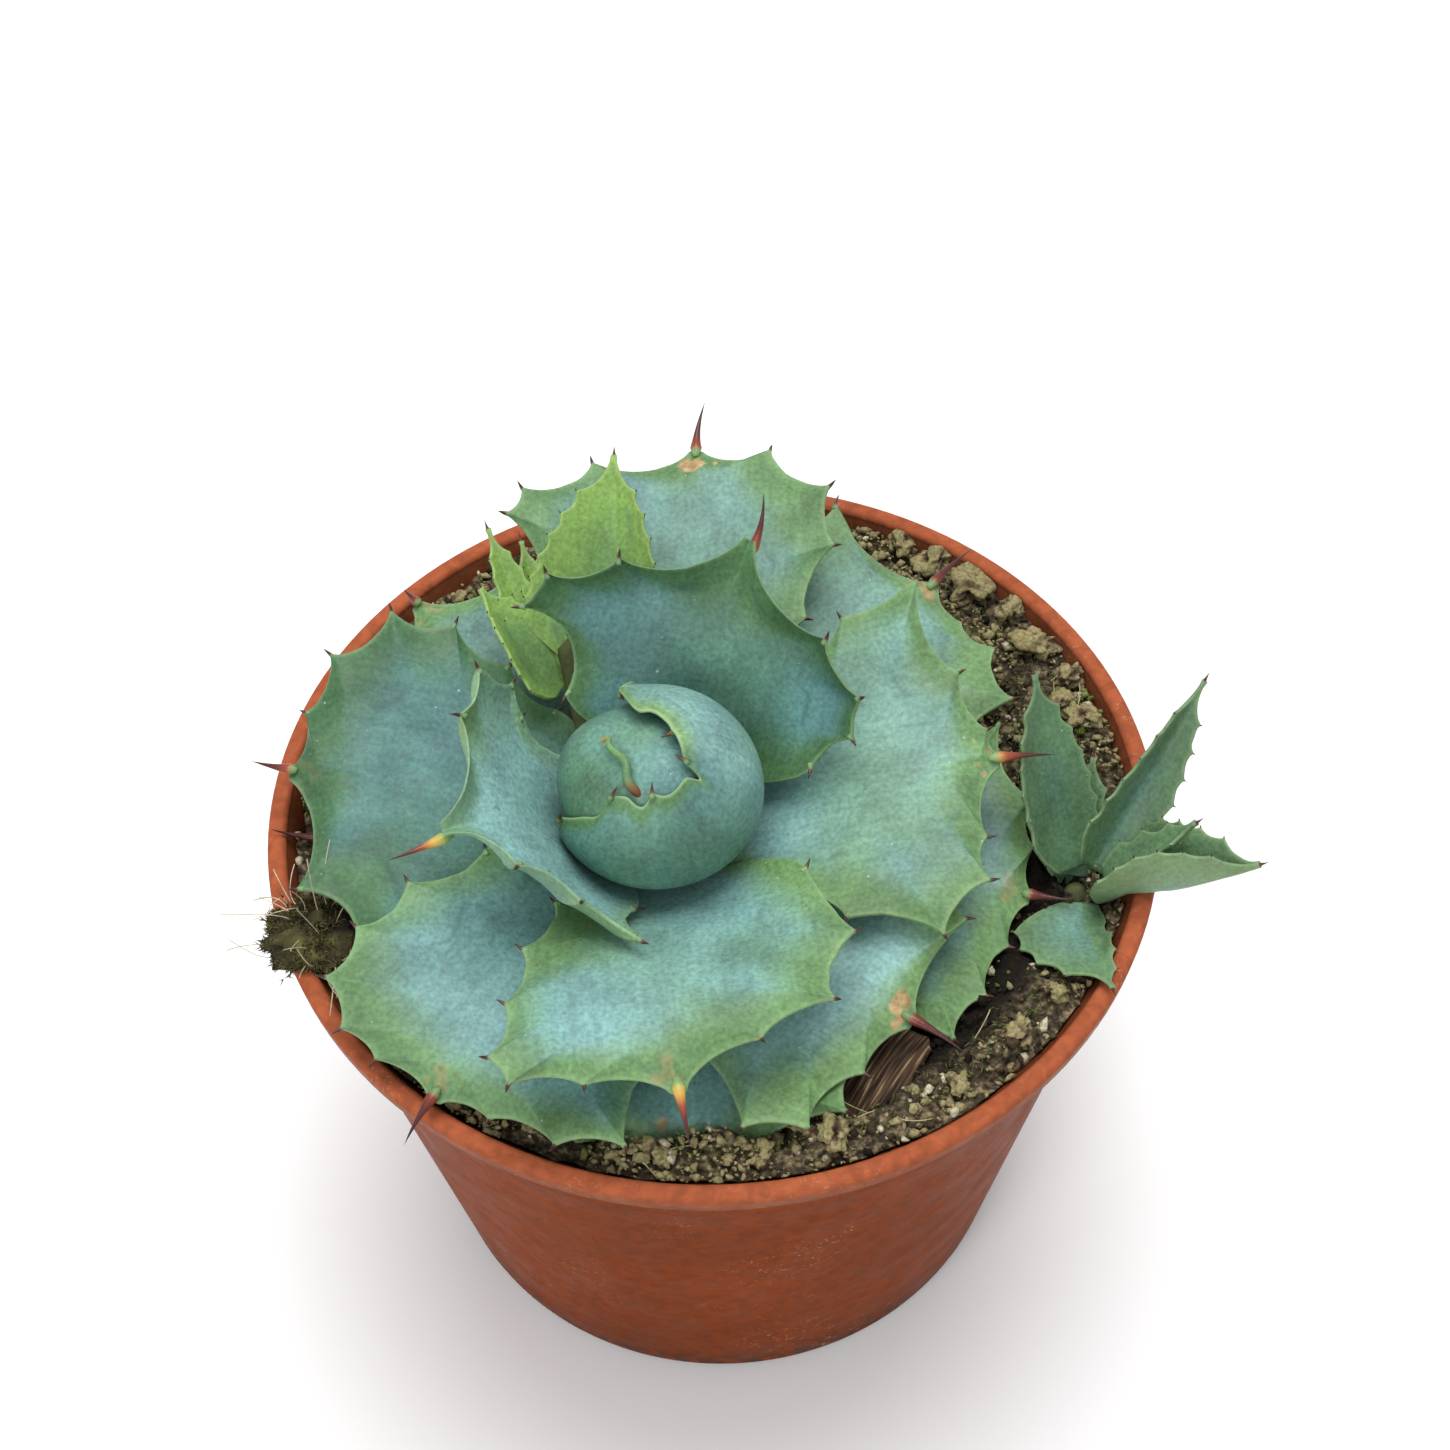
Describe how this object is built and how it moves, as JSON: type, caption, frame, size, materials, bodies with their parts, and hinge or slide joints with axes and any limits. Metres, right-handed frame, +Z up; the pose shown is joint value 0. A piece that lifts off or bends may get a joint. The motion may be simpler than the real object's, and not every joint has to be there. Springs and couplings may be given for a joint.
{
  "type": "potted plant",
  "caption": "Potted butterfly agave: a rosette of broad toothed succulent leaves round a tight bud, with offsets, in a round nursery pot; an ornamental plant that stands on its flat foot.",
  "frame": {"origin": "middle of the pot's foot, on the plane it stands on", "axes": "+Z up; -Z is the way the pot's foot faces; -Y is the side nearest the camera in the picture; +X is its right"},
  "size_m": [0.1321, 0.12, 0.1168],
  "materials": {
    "pot": "moulded, low sheen",
    "mix": "granular, mossy growing mix",
    "stone": "weathered",
    "moss": "soft, fibrous",
    "dried": "shrivelled leaf",
    "stem": "fibrous plant stem",
    "leaf": "waxy bloom on a succulent leaf",
    "offset_leaf": "waxy succulent leaf",
    "young_leaf": "waxy young succulent leaf"
  },
  "bodies": {
    "root": {"pot": "pot", "soil": "mix", "stone": "stone", "moss_tuft": "moss", "dried_leaf": "dried", "main_stem": "stem", "bud_inner": "leaf", "bud_hood": "leaf", "leaf_01": "leaf", "leaf_02": "leaf", "leaf_03": "leaf", "leaf_04": "leaf", "leaf_05": "leaf", "leaf_06": "leaf", "leaf_07": "leaf", "leaf_08": "leaf", "leaf_09": "leaf", "leaf_10": "leaf", "leaf_11": "leaf", "leaf_12": "leaf", "leaf_13": "leaf", "right_stem": "stem", "right_leaf_1": "offset_leaf", "right_leaf_2": "offset_leaf", "right_leaf_3": "offset_leaf", "right_leaf_4": "offset_leaf", "right_leaf_5": "offset_leaf", "right_leaf_6": "offset_leaf", "right_leaf_7": "offset_leaf", "back_stem": "stem", "back_leaf_1": "young_leaf", "back_leaf_2": "young_leaf", "back_leaf_3": "young_leaf", "back_leaf_4": "young_leaf", "back_leaf_5": "young_leaf"}
  },
  "joints": []
}
